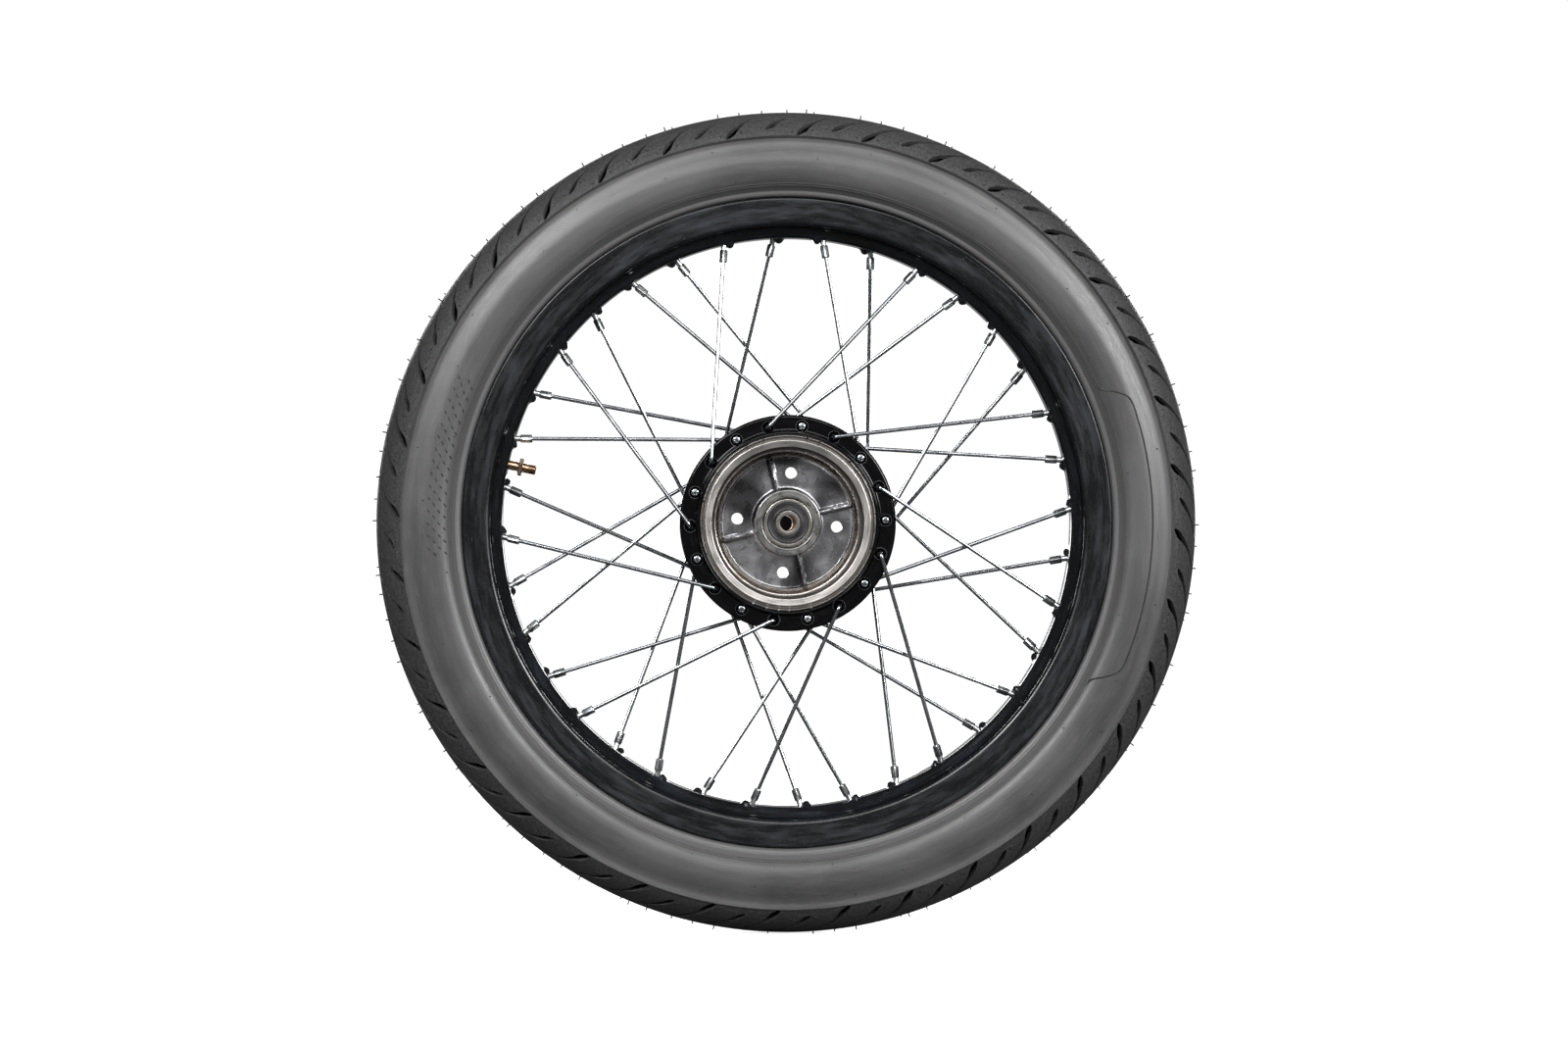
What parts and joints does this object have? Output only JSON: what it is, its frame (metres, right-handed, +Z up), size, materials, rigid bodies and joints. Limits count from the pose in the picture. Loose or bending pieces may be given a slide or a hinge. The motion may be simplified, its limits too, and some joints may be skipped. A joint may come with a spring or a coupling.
{
  "type": "spoked motorcycle wheel",
  "caption": "Wire-spoked motorcycle wheel: road tyre and inner tube on a steel well-base rim, laced to a drum-brake hub on sealed ball bearings.",
  "frame": {"origin": "the wheel's centre, on the axle line and midway between the rim's flanges", "axes": "+Y along the axle, away from the open brake drum; +Z up; the drum faces -Y"},
  "size_m": [0.618, 0.08, 0.618],
  "materials": {
    "tyre": "moulded road tyre rubber, satin sidewall and duller tread",
    "rubber": "moulded black rubber",
    "rim_black": "gloss black stove enamel over steel or aluminium",
    "hub_aluminium": "as-cast and turned aluminium",
    "drum_iron": "turned grey iron, lightly rusted",
    "zinc_steel": "bright zinc plated steel",
    "bearing_steel": "ground bearing steel",
    "spacer_steel": "plated steel tube with a copper tint",
    "brass": "turned and threaded brass"
  },
  "bodies": {
    "spindle": {"bearing_inner_ring_front": "bearing_steel", "bearing_inner_ring_back": "bearing_steel", "spacer_tube": "spacer_steel"},
    "wheel": {"tyre": "tyre", "inner_tube": "rubber", "rim_tape": "rubber", "rim": "rim_black", "valve_stem": "brass", "valve_core": "brass", "valve_nut": "brass", "hub_shell": "hub_aluminium", "brake_drum_liner": "drum_iron", "spoke_front_outer_1": "zinc_steel", "spoke_front_outer_2": "zinc_steel", "spoke_front_outer_3": "zinc_steel", "spoke_front_outer_4": "zinc_steel", "spoke_front_outer_5": "zinc_steel", "spoke_front_outer_6": "zinc_steel", "spoke_front_outer_7": "zinc_steel", "spoke_front_outer_8": "zinc_steel", "spoke_front_outer_9": "zinc_steel", "spoke_front_inner_1": "zinc_steel", "spoke_front_inner_2": "zinc_steel", "spoke_front_inner_3": "zinc_steel", "spoke_front_inner_4": "zinc_steel", "spoke_front_inner_5": "zinc_steel", "spoke_front_inner_6": "zinc_steel", "spoke_front_inner_7": "zinc_steel", "spoke_front_inner_8": "zinc_steel", "spoke_front_inner_9": "zinc_steel", "spoke_back_inner_1": "zinc_steel", "spoke_back_inner_2": "zinc_steel", "spoke_back_inner_3": "zinc_steel", "spoke_back_inner_4": "zinc_steel", "spoke_back_inner_5": "zinc_steel", "spoke_back_inner_6": "zinc_steel", "spoke_back_inner_7": "zinc_steel", "spoke_back_inner_8": "zinc_steel", "spoke_back_inner_9": "zinc_steel", "spoke_back_outer_1": "zinc_steel", "spoke_back_outer_2": "zinc_steel", "spoke_back_outer_3": "zinc_steel", "spoke_back_outer_4": "zinc_steel", "spoke_back_outer_5": "zinc_steel", "spoke_back_outer_6": "zinc_steel", "spoke_back_outer_7": "zinc_steel", "spoke_back_outer_8": "zinc_steel", "spoke_back_outer_9": "zinc_steel", "bearing_outer_ring_front": "bearing_steel", "bearing_seal_outer_front": "rubber", "bearing_seal_inner_front": "rubber", "bearing_outer_ring_back": "bearing_steel", "bearing_seal_outer_back": "rubber", "bearing_seal_inner_back": "rubber"},
    "front_balls": {"bearing_cage_front": "bearing_steel"},
    "back_balls": {"bearing_cage_back": "bearing_steel"}
  },
  "joints": [
    {"name": "wheel_spin", "type": "hinge", "parent": "spindle", "child": "wheel", "pos_m": [0, 0, 0], "axis": [0, 1, 0], "continuous": true},
    {"name": "front_ball_spin", "type": "hinge", "parent": "spindle", "child": "front_balls", "pos_m": [0, -0.024, 0], "axis": [0, 1, 0], "continuous": true},
    {"name": "back_ball_spin", "type": "hinge", "parent": "spindle", "child": "back_balls", "pos_m": [0, 0.024, 0], "axis": [0, 1, 0], "continuous": true}
  ],
  "couplings": [
    {"joint": "front_ball_spin", "follows": "wheel_spin", "ratio": 0.661},
    {"joint": "back_ball_spin", "follows": "wheel_spin", "ratio": 0.661}
  ]
}
